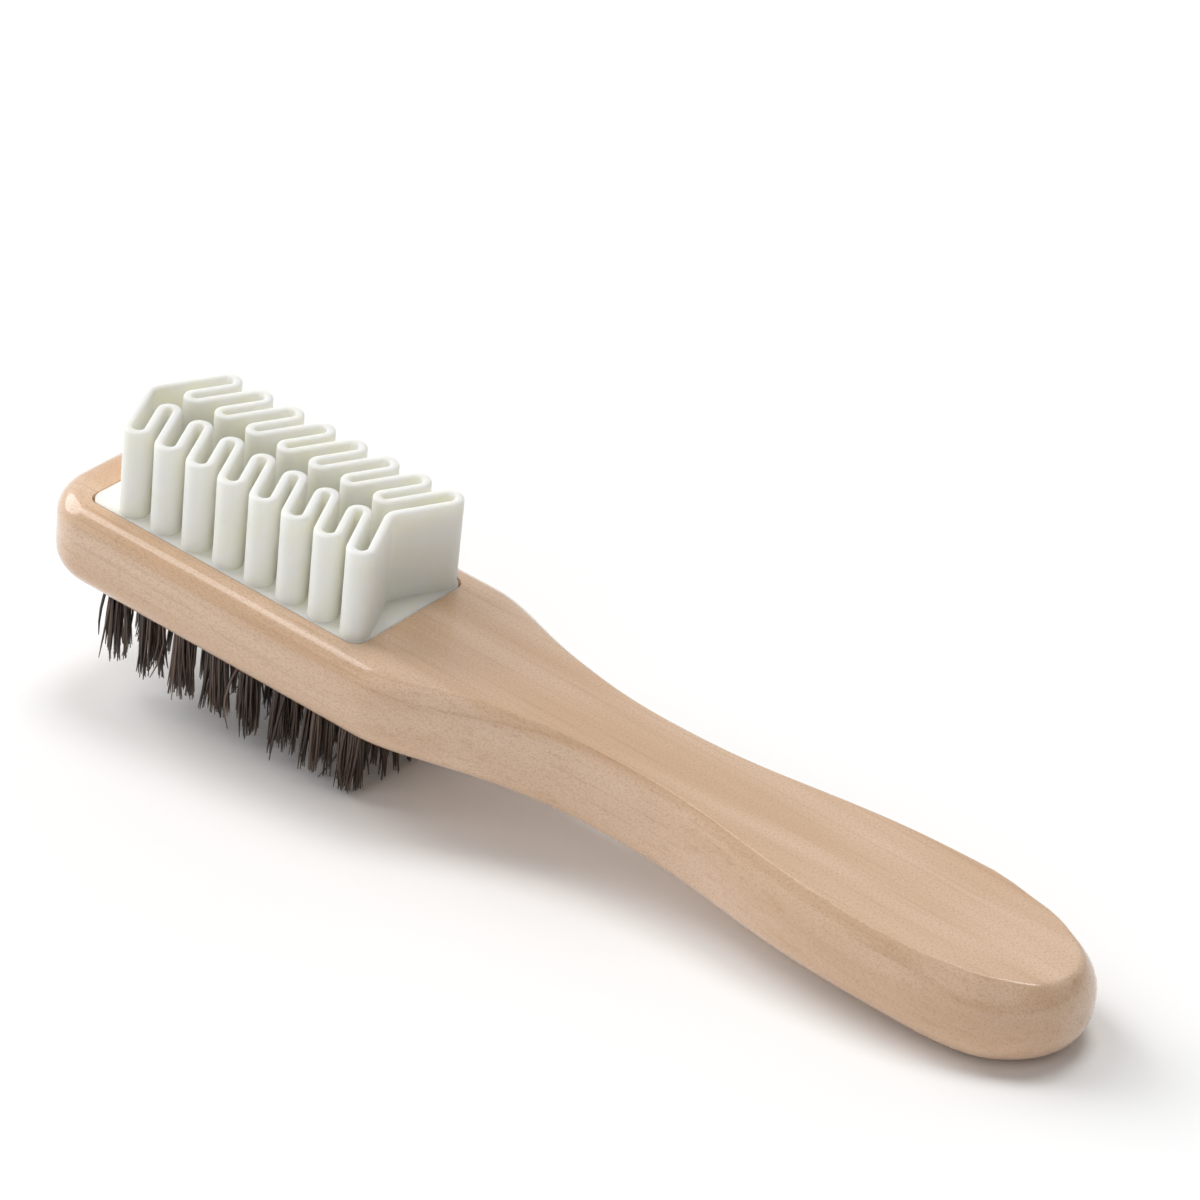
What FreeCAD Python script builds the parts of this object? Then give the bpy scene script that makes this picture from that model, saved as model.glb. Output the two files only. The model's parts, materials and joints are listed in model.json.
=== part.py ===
import FreeCAD, Part
import math
import os
from FreeCAD import Vector

# Suede brush: a wooden handle with a crimped rubber insert on top of its head and bristle tufts below.
# The pieces are made on a bench frame: X runs from the nose to the tail, Y across, Z up, and Z is zero
# on the flat top of the handle. They are then laid down as the brush rests, on its rear tufts and tail.
# All sizes are in millimetres and all angles in degrees.

# Rubber insert
fin_columns = 8            # outer bends of the crimped wall along each long side
fin_pitch = 5.87           # from one bend to the next
fin_wall = 1.3             # thickness of the crimped wall
fin_slit = 1.05            # gap between neighbouring bends, open to the outside
fin_slant = 26.0           # turn of the wall's legs from straight across
fin_reach = 11.2           # outer face of the bends from the middle plane
fin_middle_gap = 1.9       # between the two rows of inner bends
fin_vertex_round = 2.2     # rounding of the two end walls where they turn, at mid wall
fin_height = 14.0          # from the base plate to the top
fin_edge_break = 0.3       # break of the top edges
base_margin = 0.3          # base plate beyond the crimped wall
base_thickness = 3.2
glue_thickness = 0.3
pocket_clearance = 0.12    # between the base plate and the sides of the pocket
pocket_corner = 2.0        # corner radius of the pocket
corner_gap = 1.2           # how much more the corners of the base plate are rounded

# Wooden handle
rim_side = 4.1             # wood beside the pocket
rim_nose = 7.1             # wood in front of the pocket
nose_corner = 9.6          # corner radius of the nose in plan
shoulder_setback = 3.0     # straight sides of the head beyond the pocket
shoulder_run = 37.5        # from the head to the narrowest place of the neck
neck_width = 13.9
grip_run = 52.9            # from the neck to the widest place of the grip
grip_width = 24.8
tail_run = 18.9            # from the widest place of the grip to the end
shoulder_ease = 9.2        # how long the outline keeps its direction where the head ends
neck_front_ease = 18.7     # the same in front of the neck
neck_back_ease = 21.2      # the same behind the neck
grip_front_ease = 30.3     # the same in front of the widest place of the grip
grip_back_ease = 13.7      # the same behind it
tail_bluntness = 6.0       # the same across the end
head_top_round = 3.7       # rounding of the top edge, along the head
neck_top_round = 1.1
grip_top_round = 1.7
tail_top_round = 3.3
head_under_round = 4.4     # rounding of the lower edge, along the head
neck_under_round = 2.2
grip_under_round = 4.6
tail_under_round = 6.0
floor_web = 2.4            # wood between the pocket and the tuft holes

# Bristle tufts
tuft_columns = 8
tuft_rows = 4
tuft_nose_margin = 12.4    # from the nose to the middle of the first tuft
tuft_end_margin = 4.2      # from the last tuft to the end of the head's straight sides
tuft_side_margin = 6.3     # from the side of the head to the outer row
hole_diameter = 3.2
hole_depth = 7.0
tuft_clearance = 0.05      # between a tuft's root and its hole
tuft_length = 13.0         # from the underside of the head to the tips
tuft_gap = 0.58            # between the tips of neighbouring tufts
tuft_collar = 1.2          # root that shows below the head before it parts into locks
lock_root_radius = 0.48
lock_tip_radius = 0.55
lock_ring = 0.98           # roots of the outer locks from the middle of the tuft
lock_shortest = 1.6        # how much shorter the shortest lock of a tuft is
locks_in_ring = 5
lock_trim_step = 3         # order in which the locks are trimmed
lock_sides = 4
root_sides = 8             # sides of the packed root of a tuft
tuft_shapes = 4            # different tufts, used in turn
row_step = 3               # how far the turn moves on from row to row
anchor_thickness = 0.35
anchor_height = 1.3
anchor_inset = 0.8         # from the bottom of the hole to the anchor

same_place = 1e-6          # points closer than this are the same point

# Sizes that follow from those above
slant = math.radians(fin_slant)
along_leg = Vector(-math.sin(slant), math.cos(slant), 0)
across_leg = Vector(math.cos(slant), math.sin(slant), 0)
fin_hollow = fin_pitch * math.cos(slant) - 2 * fin_wall - fin_slit
outer_bend = (fin_hollow + fin_wall) / 2
inner_bend = (fin_slit + fin_wall) / 2
outer_bend_y = fin_reach - outer_bend - fin_wall / 2
inner_bend_y = fin_middle_gap / 2 + inner_bend + fin_wall / 2
vertex_offset = outer_bend / math.cos(slant) + outer_bend_y * math.tan(slant)
vertex_centre = fin_vertex_round / math.cos(slant)
ring_front = -vertex_offset + vertex_centre - fin_vertex_round - fin_wall / 2
ring_back = (fin_columns - 1) * fin_pitch + outer_bend + fin_wall / 2
base_length = ring_back - ring_front + 2 * base_margin
base_width = 2 * (fin_reach + base_margin)
base_corner = pocket_corner + corner_gap
pocket_length = base_length + 2 * pocket_clearance
pocket_width = base_width + 2 * pocket_clearance
pocket_depth = base_thickness + glue_thickness
pocket_x = rim_nose
base_x = pocket_x + pocket_clearance
ring_x = base_x + base_margin - ring_front
head_width = pocket_width + 2 * rim_side
board_thickness = pocket_depth + floor_web + hole_depth
shoulder_x = pocket_x + pocket_length + shoulder_setback
neck_x = shoulder_x + shoulder_run
grip_x = neck_x + grip_run
tail_x = grip_x + tail_run
underside = -board_thickness
hole_bottom = underside + hole_depth
tip_level = underside - tuft_length
last_tuft_x = shoulder_x - tuft_end_margin
tuft_pitch = (last_tuft_x - tuft_nose_margin) / (tuft_columns - 1)
tuft_row_pitch = (head_width - 2 * tuft_side_margin) / (tuft_rows - 1)
tuft_spread = (min(tuft_pitch, tuft_row_pitch) - tuft_gap) / 2 - lock_tip_radius
anchor_length = math.sqrt(hole_diameter ** 2 - anchor_thickness ** 2)


def flat(x, y):
    """A point of a plan outline."""
    return Vector(x, y, 0)


def line(start, end):
    return Part.LineSegment(start, end).toShape()


def arc(start, middle, end):
    return Part.Arc(start, middle, end).toShape()


def sweep_curve(*poles):
    """A smooth stretch of outline from its first pole to its last."""
    curve = Part.BezierCurve()
    curve.setPoles(list(poles))
    return curve.toShape()


def closed_outline(half):
    """A closed wire from the edges on one side of the middle plane, and their mirror image."""
    mirrored = [edge.mirror(Vector(0, 0, 0), Vector(0, 1, 0)) for edge in half]
    return Part.Wire(Part.__sortEdges__(half + mirrored))


def rounded_plate(x, length, width, corner, bottom, thickness):
    """A plate with rounded corners, from x along the middle plane."""
    plate = Part.makeBox(length, width, thickness, Vector(x, -width / 2, bottom))
    upright = [edge for edge in plate.Edges if abs(edge.tangentAt(edge.FirstParameter).z) > 0.5]
    return plate.makeFillet(corner, upright)


def handle_edges():
    """The plan outline of the handle on the far side, from the nose to the tail."""
    side = head_width / 2
    neck = neck_width / 2
    grip = grip_width / 2
    corner_middle = nose_corner * (1 - math.sqrt(0.5))
    return [
        line(flat(0, 0), flat(0, side - nose_corner)),
        arc(flat(0, side - nose_corner), flat(corner_middle, side - corner_middle), flat(nose_corner, side)),
        line(flat(nose_corner, side), flat(shoulder_x, side)),
        sweep_curve(flat(shoulder_x, side), flat(shoulder_x + shoulder_ease, side),
                    flat(neck_x - neck_front_ease, neck), flat(neck_x, neck)),
        sweep_curve(flat(neck_x, neck), flat(neck_x + neck_back_ease, neck),
                    flat(grip_x - grip_front_ease, grip), flat(grip_x, grip)),
        sweep_curve(flat(grip_x, grip), flat(grip_x + grip_back_ease, grip),
                    flat(tail_x, tail_bluntness), flat(tail_x, 0)),
    ]


def edge_round(x, head, neck, grip, tail):
    """The rounding of an edge at x, given at the head, neck, grip and tail."""
    stations = [(shoulder_x, head), (neck_x, neck), (grip_x, grip), (tail_x, tail)]
    if x <= shoulder_x:
        return head
    for (x0, r0), (x1, r1) in zip(stations, stations[1:]):
        if x <= x1:
            return r0 + (r1 - r0) * (x - x0) / (x1 - x0)
    return tail


def rounded_board():
    """The handle's board, with its top and lower edges rounded over."""
    outline = closed_outline(handle_edges())
    board = Part.Face(outline).extrude(Vector(0, 0, underside))
    document = FreeCAD.newDocument("handle")
    blank = document.addObject("Part::Feature", "blank")
    blank.Shape = board
    rounded = document.addObject("Part::Fillet", "rounded")
    rounded.Base = blank
    radii = []
    for number, edge in enumerate(board.Edges, 1):
        ends = [vertex.Point for vertex in edge.Vertexes]
        if all(abs(end.z) < same_place for end in ends):
            sizes = (head_top_round, neck_top_round, grip_top_round, tail_top_round)
        elif all(abs(end.z - underside) < same_place for end in ends):
            sizes = (head_under_round, neck_under_round, grip_under_round, tail_under_round)
        else:
            continue
        radii.append((number, edge_round(ends[0].x, *sizes), edge_round(ends[-1].x, *sizes)))
    rounded.Edges = radii
    document.recompute()
    shape = rounded.Shape.Solids[0].copy()
    FreeCAD.closeDocument(document.Name)
    return shape


def tuft_places():
    """The row and column of every tuft, with the middle of its hole in plan."""
    places = []
    for row in range(tuft_rows):
        y = (row - (tuft_rows - 1) / 2) * tuft_row_pitch
        for column in range(tuft_columns):
            places.append((row + 1, column + 1, flat(tuft_nose_margin + column * tuft_pitch, y)))
    return places


def tuft_anchor():
    """One flat wire anchor, across the hole of a tuft whose middle is the origin."""
    corner = Vector(-anchor_thickness / 2, -anchor_length / 2, hole_bottom - anchor_inset - anchor_height)
    return Part.makeBox(anchor_thickness, anchor_length, anchor_height, corner)


def handle():
    """The wooden handle, with the pocket in its top and the drilled tuft holes below."""
    board = rounded_board()
    pocket = rounded_plate(pocket_x, pocket_length, pocket_width, pocket_corner, -pocket_depth, pocket_depth)
    hole = Part.makeCylinder(hole_diameter / 2, hole_depth, Vector(0, 0, underside))
    holes = [hole.translated(place) for row, column, place in tuft_places()]
    return board.cut([pocket] + holes)


def crimp_prism(offset):
    """A prism on the outline of the crimped wall, its middle line moved outwards by offset."""
    bend = outer_bend + offset
    cap = inner_bend - offset
    first = flat(ring_x, -outer_bend_y)
    last = flat(ring_x + (fin_columns - 1) * fin_pitch, -outer_bend_y)
    to_cap = across_leg * (fin_pitch / 2 * math.cos(slant)) + along_leg * (
        (outer_bend_y - inner_bend_y) / math.cos(slant) - fin_pitch / 2 * math.sin(slant))
    front_round = fin_vertex_round + offset
    back_round = fin_vertex_round - offset
    front_middle = flat(first.x - vertex_offset + vertex_centre, 0)
    back_middle = flat(last.x - vertex_offset + 2 * outer_bend / math.cos(slant) + vertex_centre, 0)
    half_turn = flat(math.cos(slant / 2), math.sin(slant / 2))
    edges = [
        arc(front_middle - flat(front_round, 0), front_middle - half_turn * front_round,
            front_middle - across_leg * front_round),
        line(front_middle - across_leg * front_round, first - across_leg * bend),
    ]
    for column in range(fin_columns):
        middle = first + flat(column * fin_pitch, 0)
        edges.append(arc(middle - across_leg * bend, middle - along_leg * bend, middle + across_leg * bend))
        if column == fin_columns - 1:
            continue
        inner = middle + to_cap
        edges.append(line(middle + across_leg * bend, inner - across_leg * cap))
        edges.append(arc(inner - across_leg * cap, inner + along_leg * cap, inner + across_leg * cap))
        edges.append(line(inner + across_leg * cap, middle + flat(fin_pitch, 0) - across_leg * bend))
    edges += [
        line(last + across_leg * bend, back_middle - across_leg * back_round),
        arc(back_middle - across_leg * back_round, back_middle - half_turn * back_round,
            back_middle - flat(back_round, 0)),
    ]
    return Part.Face(closed_outline(edges)).extrude(Vector(0, 0, fin_height))


def rubber_insert():
    """The rubber moulding: a closed crimped wall on a base plate."""
    wall = crimp_prism(fin_wall / 2).cut(crimp_prism(-fin_wall / 2))
    top_edges = []
    for edge in wall.Edges:
        if all(abs(vertex.Z - fin_height) < same_place for vertex in edge.Vertexes):
            top_edges.append(edge)
    wall = wall.makeChamfer(fin_edge_break, top_edges)
    base = rounded_plate(base_x, base_length, base_width, base_corner, -base_thickness, base_thickness)
    return wall.fuse(base).removeSplitter()


def insert_glue():
    """The bed of glue under the insert."""
    return rounded_plate(base_x, base_length, base_width, base_corner, -pocket_depth, glue_thickness)


def polygon(middle, radius, sides, turn):
    """A closed outline with equal sides, whose corners lie at a radius from its middle."""
    corners = []
    for side in range(sides + 1):
        angle = turn + 2 * math.pi * side / sides
        corners.append(middle + flat(radius * math.cos(angle), radius * math.sin(angle)))
    return Part.makePolygon(corners)


def bristle_lock(root, tip, turn):
    """One lock of bristles, which tapers from its root to its tip."""
    wide = polygon(root, lock_root_radius, lock_sides, turn)
    narrow = polygon(tip, lock_tip_radius, lock_sides, turn)
    return Part.makeLoft([wide, narrow], True, True)


def bristle_tuft(shape):
    """A tuft whose hole has its middle at the origin: a root round its anchor, and locks of bristles."""
    root_end = Vector(0, 0, underside - tuft_collar)
    root_outline = polygon(root_end, hole_diameter / 2 - tuft_clearance, root_sides, 0)
    root = Part.Face(root_outline).extrude(Vector(0, 0, hole_depth + tuft_collar))
    lock_top = Vector(0, 0, underside)
    locks = [bristle_lock(lock_top, Vector(0, 0, tip_level), 0)]
    for number in range(locks_in_ring):
        angle = 2 * math.pi * (number + shape / tuft_shapes) / locks_in_ring
        outwards = flat(math.cos(angle), math.sin(angle))
        trim = lock_shortest * ((number * lock_trim_step + shape) % locks_in_ring) / locks_in_ring
        tip = outwards * tuft_spread + Vector(0, 0, tip_level + trim)
        locks.append(bristle_lock(lock_top + outwards * lock_ring, tip, angle))
    return root.fuse(locks).cut(tuft_anchor()).removeSplitter()


def laid_down(pieces):
    """The pieces turned and moved to where the brush rests, with the origin under their middle."""
    tip = Vector(last_tuft_x + tuft_spread, 0, tip_level)
    heel = Vector(tail_x - tail_under_round, 0, underside + tail_under_round)
    slope = math.atan2(heel.z - tip.z, heel.x - tip.x)
    pitch = slope - math.asin(tail_under_round / heel.distanceToPoint(tip))
    turned = {}
    for name, piece in pieces.items():
        turned[name] = piece.copy()
        turned[name].rotate(Vector(0, 0, 0), Vector(0, 1, 0), math.degrees(pitch))
    box = FreeCAD.BoundBox()
    for piece in turned.values():
        box.add(piece.optimalBoundingBox())
    for piece in turned.values():
        piece.translate(Vector(-box.Center.x, -box.Center.y, -box.ZMin))
    return turned


def brush():
    """All the pieces of the brush by name."""
    pieces = {"handle": handle(), "rubber_insert": rubber_insert(), "insert_glue": insert_glue()}
    shapes = [bristle_tuft(shape) for shape in range(tuft_shapes)]
    anchors = []
    for row, column, place in tuft_places():
        pieces["tuft_%d_%d" % (row, column)] = shapes[(row * row_step + column) % tuft_shapes].translated(place)
        anchors.append(tuft_anchor().translated(place))
    pieces["tuft_anchors"] = Part.makeCompound(anchors)
    return laid_down(pieces)


os.makedirs("parts", exist_ok=True)
for name, piece in brush().items():
    piece.exportStep("parts/" + name + ".step")
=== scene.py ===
import json
import logging
import math
import random
from collections.abc import Sequence
from dataclasses import dataclass
from enum import Enum
from typing import Any, Union

import bmesh
import bpy
from mathutils import Matrix, Vector


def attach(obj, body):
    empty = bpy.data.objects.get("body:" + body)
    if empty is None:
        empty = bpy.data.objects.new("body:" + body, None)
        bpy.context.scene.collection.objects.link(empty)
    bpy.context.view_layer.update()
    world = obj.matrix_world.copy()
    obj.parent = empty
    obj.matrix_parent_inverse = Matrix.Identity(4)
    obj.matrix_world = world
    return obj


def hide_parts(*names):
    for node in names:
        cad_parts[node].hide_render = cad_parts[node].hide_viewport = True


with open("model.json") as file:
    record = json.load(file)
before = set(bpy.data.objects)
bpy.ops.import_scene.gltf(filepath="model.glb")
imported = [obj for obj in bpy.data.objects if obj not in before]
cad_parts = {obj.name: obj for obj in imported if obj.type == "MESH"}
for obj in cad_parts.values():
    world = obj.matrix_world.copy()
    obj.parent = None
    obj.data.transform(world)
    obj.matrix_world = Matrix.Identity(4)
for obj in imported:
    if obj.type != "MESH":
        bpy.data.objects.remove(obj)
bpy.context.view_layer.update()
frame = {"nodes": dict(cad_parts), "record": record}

# A suede brush: a wooden handle with a crimped rubber insert on its head and bristle tufts below.
# The pieces are modelled in millimetres on the handle's own bench: X runs from the nose to the tail,
# Y across, and Z is zero on the flat top. The bench then lies in the row frame as the brush rests.

log = logging.getLogger("suede_brush")
BODY = "root"
MILLIMETRE = 0.001
SAME_PLACE = 1e-5        # points closer than this many millimetres are the same
QUARTER_LEVER = 4 / 3 * math.tan(math.pi / 8)    # lever of a quarter circle's curve, per radius
GOLDEN_ANGLE = math.pi * (3 - math.sqrt(5))      # turn that spreads points evenly over a disc

PLAIN_LAYERS = 2.0       # finer layers in an even pattern
CLOUDY_LAYERS = 3.0      # finer layers in a cloudy pattern
QUAD_CORNERS = 4         # a face with more corners than this is one of the wide flats

Colour = tuple[float, float, float, float]
Edges = tuple[float, float]
Ring = list[bmesh.types.BMEdge]


def tone(red: int, green: int, blue: int) -> Colour:
    """Turns a display colour, with parts from 0 to 255, into a linear one.

    Args:
        red: Its red part.
        green: Its green part.
        blue: Its blue part.

    Returns:
        The linear colour.
    """
    linear = []
    for part in (red, green, blue):
        share = part / 255
        linear.append(share / 12.92 if share <= 0.04045 else ((share + 0.055) / 1.055) ** 2.4)
    return (linear[0], linear[1], linear[2], 1.0)


def blended(first: float, second: float, share: float) -> float:
    """A number between two others."""
    return first + (second - first) * share


class Socket:
    """A shader output that takes part in sums: each operator adds its Math node."""

    def __init__(self, shader: "Shader", output: Union[bpy.types.NodeSocket, None]) -> None:
        """Keeps an output, if the node has one, and the shader that it belongs to."""
        self.shader = shader
        self.output = output

    def _math(self, operation: str, first: "Value", second: "Value") -> "Socket":
        """A Math node on two values."""
        inputs = {"Value": first, "Value_001": second}
        return self.shader.node("ShaderNodeMath", {"operation": operation}, inputs)

    def __add__(self, other: "Value") -> "Socket":
        """This value plus another."""
        return self._math("ADD", self, other)

    def __radd__(self, other: "Value") -> "Socket":
        """Another value plus this one."""
        return self._math("ADD", other, self)

    def __sub__(self, other: "Value") -> "Socket":
        """This value less another."""
        return self._math("SUBTRACT", self, other)

    def __rsub__(self, other: "Value") -> "Socket":
        """Another value less this one."""
        return self._math("SUBTRACT", other, self)

    def __mul__(self, other: "Value") -> "Socket":
        """This value times another."""
        return self._math("MULTIPLY", self, other)

    def __rmul__(self, other: "Value") -> "Socket":
        """Another value times this one."""
        return self._math("MULTIPLY", other, self)


Value = Union[Socket, float]


class Shader:
    """The node tree of a material or world, written as expressions."""

    def __init__(self, owner: Any) -> None:
        """Empties the node tree of its owner.

        Args:
            owner: A material or a world.
        """
        owner.use_nodes = True
        self.tree = owner.node_tree
        self.tree.nodes.clear()

    def node(self, kind: str, settings: dict[str, Any], inputs: dict[str, Any], output: str = "") -> Socket:
        """Adds one node.

        Args:
            kind: The node's type.
            settings: What is set on the node before its inputs.
            inputs: Values or links by the socket's identifier.
            output: The identifier of the output to hand back, or the first one if empty.

        Returns:
            The output, ready for expressions.
        """
        node = self.tree.nodes.new(kind)
        for name, setting in settings.items():
            setattr(node, name, setting)
        sockets = {socket.identifier: socket for socket in node.inputs}
        for name, value in inputs.items():
            if isinstance(value, Socket):
                self.tree.links.new(value.output, sockets[name])
            else:
                sockets[name].default_value = value
        outputs = {socket.identifier: socket for socket in node.outputs}
        if not outputs:
            return Socket(self, None)
        return Socket(self, outputs[output] if output else node.outputs[0])

    def mix(self, factor: Value, first: Any, second: Any) -> Socket:
        """A colour between two colours."""
        inputs = {"Factor_Float": factor, "A_Color": first, "B_Color": second}
        return self.node("ShaderNodeMix", {"data_type": "RGBA"}, inputs, "Result_Color")

    def place(self, bench: "Bench") -> Socket:
        """Adds where a surface point is on the bench.

        Args:
            bench: How the bench lies in the row frame.

        Returns:
            The point in millimetres, with X along the grain of the handle.
        """
        point = self.node("ShaderNodeTexCoord", {}, {}, "Object")
        back = bench.to_row.inverted()
        inputs = {
            "Vector": point,
            "Location": back.translation,
            "Rotation": back.to_euler(),
            "Scale": (1 / MILLIMETRE,) * 3,
        }
        return self.node("ShaderNodeMapping", {"vector_type": "POINT"}, inputs)

    def noise(self, place: Socket, size: tuple[float, float, float], layers: float) -> Socket:
        """Adds a cloudy pattern from 0 to 1.

        Args:
            place: The point on the bench.
            size: How long the clouds are in millimetres along X, Y and Z.
            layers: How many finer layers lie in the clouds.

        Returns:
            The pattern's value.
        """
        per_size = tuple(1 / length for length in size)
        spread = self.node("ShaderNodeVectorMath", {"operation": "MULTIPLY"},
                           {"Vector": place, "Vector_001": per_size})
        return self.node("ShaderNodeTexNoise", {"noise_dimensions": "3D"},
                         {"Vector": spread, "Scale": 1.0, "Detail": layers}, "Fac")

    def between(self, value: Value, low: float, high: float) -> Socket:
        """A smooth rise from 0 to 1 as a value goes from low to high."""
        inputs = {"Value": value, "From Min": low, "From Max": high}
        return self.node("ShaderNodeMapRange", {"interpolation_type": "SMOOTHSTEP"}, inputs)

    def bump(self, height: Socket, strength: float, distance: float) -> Socket:
        """The normal of a surface that a pattern raises by up to a distance in metres."""
        inputs = {"Strength": strength, "Distance": distance, "Height": height}
        return self.node("ShaderNodeBump", {}, inputs)

    def surface(self, shader: Socket, kind: str = "ShaderNodeOutputMaterial") -> None:
        """Joins a shader to the tree's output."""
        self.node(kind, {}, {"Surface": shader})


@dataclass(frozen=True)
class Bench:
    """How the handle's own bench lies in the row frame, as a matrix from millimetres to metres."""

    to_row: Matrix

    @classmethod
    def under_mount(cls, mount: dict[str, Any], mount_on_bench: Vector) -> "Bench":
        """Finds the bench from the flat face on top of the grip.

        Args:
            mount: The mount's entry in the record.
            mount_on_bench: Where that mount is on the bench, in millimetres.

        Returns:
            The bench.
        """
        axis = Vector(mount["axis"])
        turn = Matrix.Rotation(math.atan2(axis.x, axis.z), 4, "Y") @ Matrix.Scale(MILLIMETRE, 4)
        origin = Vector(mount["pos_m"]) - turn @ mount_on_bench
        return cls(Matrix.Translation(origin) @ turn)


@dataclass(frozen=True)
class WoodFinish:
    """Pale close-grained wood with fine fibres under a glossy lacquer."""

    pale: Colour = tone(226, 195, 167)
    warm: Colour = tone(212, 175, 141)
    streak: Colour = tone(190, 149, 112)
    speck: Colour = tone(180, 140, 106)
    band_size: tuple[float, float, float] = (70.0, 7.0, 7.0)
    streak_size: tuple[float, float, float] = (26.0, 0.7, 0.7)
    speck_size: tuple[float, float, float] = (0.4, 0.2, 0.2)
    fibre_size: tuple[float, float, float] = (2.4, 0.2, 0.2)
    band_edges: Edges = (0.3, 0.7)
    streak_edges: Edges = (0.5, 0.8)
    speck_edges: Edges = (0.42, 0.72)
    streak_share: float = 0.45
    speck_share: float = 0.45
    roughness: float = 0.36
    speck_dulling: float = 0.12
    gloss: float = 0.3
    coat: float = 0.75
    fibre_coat: float = 0.25
    coat_roughness: float = 0.11
    fibre_bump: float = 0.4
    fibre_height: float = 0.00004

    def material(self, bench: Bench) -> bpy.types.Material:
        """Makes the material.

        Args:
            bench: How the bench lies, so that the grain follows the handle.

        Returns:
            The material.
        """
        material = bpy.data.materials.new("wood")
        shader = Shader(material)
        place = shader.place(bench)
        band = shader.between(shader.noise(place, self.band_size, PLAIN_LAYERS), *self.band_edges)
        streak = shader.between(shader.noise(place, self.streak_size, CLOUDY_LAYERS), *self.streak_edges)
        speck = shader.between(shader.noise(place, self.speck_size, PLAIN_LAYERS), *self.speck_edges)
        fibre = shader.noise(place, self.fibre_size, PLAIN_LAYERS)
        colour = shader.mix(band, self.pale, self.warm)
        colour = shader.mix(streak * self.streak_share, colour, self.streak)
        colour = shader.mix(speck * self.speck_share, colour, self.speck)
        bump = shader.bump(fibre, self.fibre_bump, self.fibre_height)
        shader.surface(shader.node("ShaderNodeBsdfPrincipled", {}, {
            "Base Color": colour,
            "Roughness": self.roughness + speck * self.speck_dulling,
            "Specular IOR Level": self.gloss,
            "Coat Weight": self.coat + fibre * self.fibre_coat,
            "Coat Roughness": self.coat_roughness,
            "Normal": bump,
        }))
        return material


@dataclass(frozen=True)
class RubberFinish:
    """Soft ivory rubber, matt, with a faint mottle."""

    ivory: Colour = tone(251, 250, 238)
    mottle: Colour = tone(250, 247, 231)
    mottle_size: tuple[float, float, float] = (5.0, 5.0, 5.0)
    grain_size: tuple[float, float, float] = (0.25, 0.25, 0.25)
    mottle_edges: Edges = (0.4, 0.7)
    roughness: float = 0.6
    grain_dulling: float = 0.1
    grain_bump: float = 0.15
    grain_height: float = 0.00004
    glow: float = 1.0
    glow_depth: float = 0.0025
    glow_reach: tuple[float, float, float] = (1.0, 0.95, 0.8)

    def material(self, bench: Bench) -> bpy.types.Material:
        """Makes the material.

        Args:
            bench: How the bench lies.

        Returns:
            The material.
        """
        material = bpy.data.materials.new("rubber")
        shader = Shader(material)
        place = shader.place(bench)
        mottle = shader.between(shader.noise(place, self.mottle_size, CLOUDY_LAYERS), *self.mottle_edges)
        grain = shader.noise(place, self.grain_size, PLAIN_LAYERS)
        bump = shader.bump(grain, self.grain_bump, self.grain_height)
        shader.surface(shader.node("ShaderNodeBsdfPrincipled", {}, {
            "Base Color": shader.mix(mottle, self.ivory, self.mottle),
            "Roughness": self.roughness + grain * self.grain_dulling,
            "Subsurface Weight": self.glow,
            "Subsurface Radius": self.glow_reach,
            "Subsurface Scale": self.glow_depth,
            "Normal": bump,
        }))
        return material


@dataclass(frozen=True)
class BristleFinish:
    """Stiff dark bristles, each a little different, that grow paler towards their tips."""

    dark: Colour = tone(56, 43, 36)
    brown: Colour = tone(116, 94, 81)
    pale_tip: Colour = tone(150, 132, 116)
    pale_tip_edges: Edges = (0.8, 1.0)
    pale_tip_share: float = 0.6
    roughness: float = 0.36
    sheen: float = 0.1

    def material(self) -> bpy.types.Material:
        """Makes the material, which reads the shade and the run of each strand.

        Returns:
            The material.
        """
        material = bpy.data.materials.new("bristle")
        shader = Shader(material)
        shade = shader.node("ShaderNodeAttribute", {"attribute_name": "shade"}, {}, "Fac")
        run = shader.node("ShaderNodeAttribute", {"attribute_name": "run"}, {}, "Fac")
        colour = shader.mix(shade, self.dark, self.brown)
        # each strand is mixed towards a paler colour over the last part of its run, more where its random
        # tone is lighter
        tip = shader.between(run, *self.pale_tip_edges)
        colour = shader.mix(tip * shade * self.pale_tip_share, colour, self.pale_tip)
        shader.surface(shader.node("ShaderNodeBsdfPrincipled", {}, {
            "Base Color": colour,
            "Roughness": self.roughness - shade * self.sheen,
        }))
        return material


@dataclass(frozen=True)
class HiddenFinish:
    """A plain finish with a faint cloudiness for what lies inside the handle."""

    name: str
    pale: Colour
    dark: Colour
    metallic: float
    roughness: float
    cloud_size: tuple[float, float, float] = (2.0, 2.0, 2.0)
    cloud_dulling: float = 0.15

    def material(self, bench: Bench) -> bpy.types.Material:
        """Makes the material.

        Args:
            bench: How the bench lies.

        Returns:
            The material.
        """
        material = bpy.data.materials.new(self.name)
        shader = Shader(material)
        cloud = shader.noise(shader.place(bench), self.cloud_size, CLOUDY_LAYERS)
        shader.surface(shader.node("ShaderNodeBsdfPrincipled", {}, {
            "Base Color": shader.mix(cloud, self.pale, self.dark),
            "Roughness": self.roughness + cloud * self.cloud_dulling,
            "Metallic": self.metallic,
        }))
        return material


@dataclass(frozen=True)
class Knot:
    """A point of a plan outline with its lever ends; without a lever the outline is straight."""

    at: Vector
    before: Union[Vector, None] = None
    after: Union[Vector, None] = None

    def across(self) -> "Knot":
        """The knot's mirror image in the middle plane, for the way back."""
        points = (self.at, self.after, self.before)
        return Knot(*(None if point is None else Vector((point.x, -point.y)) for point in points))


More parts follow.
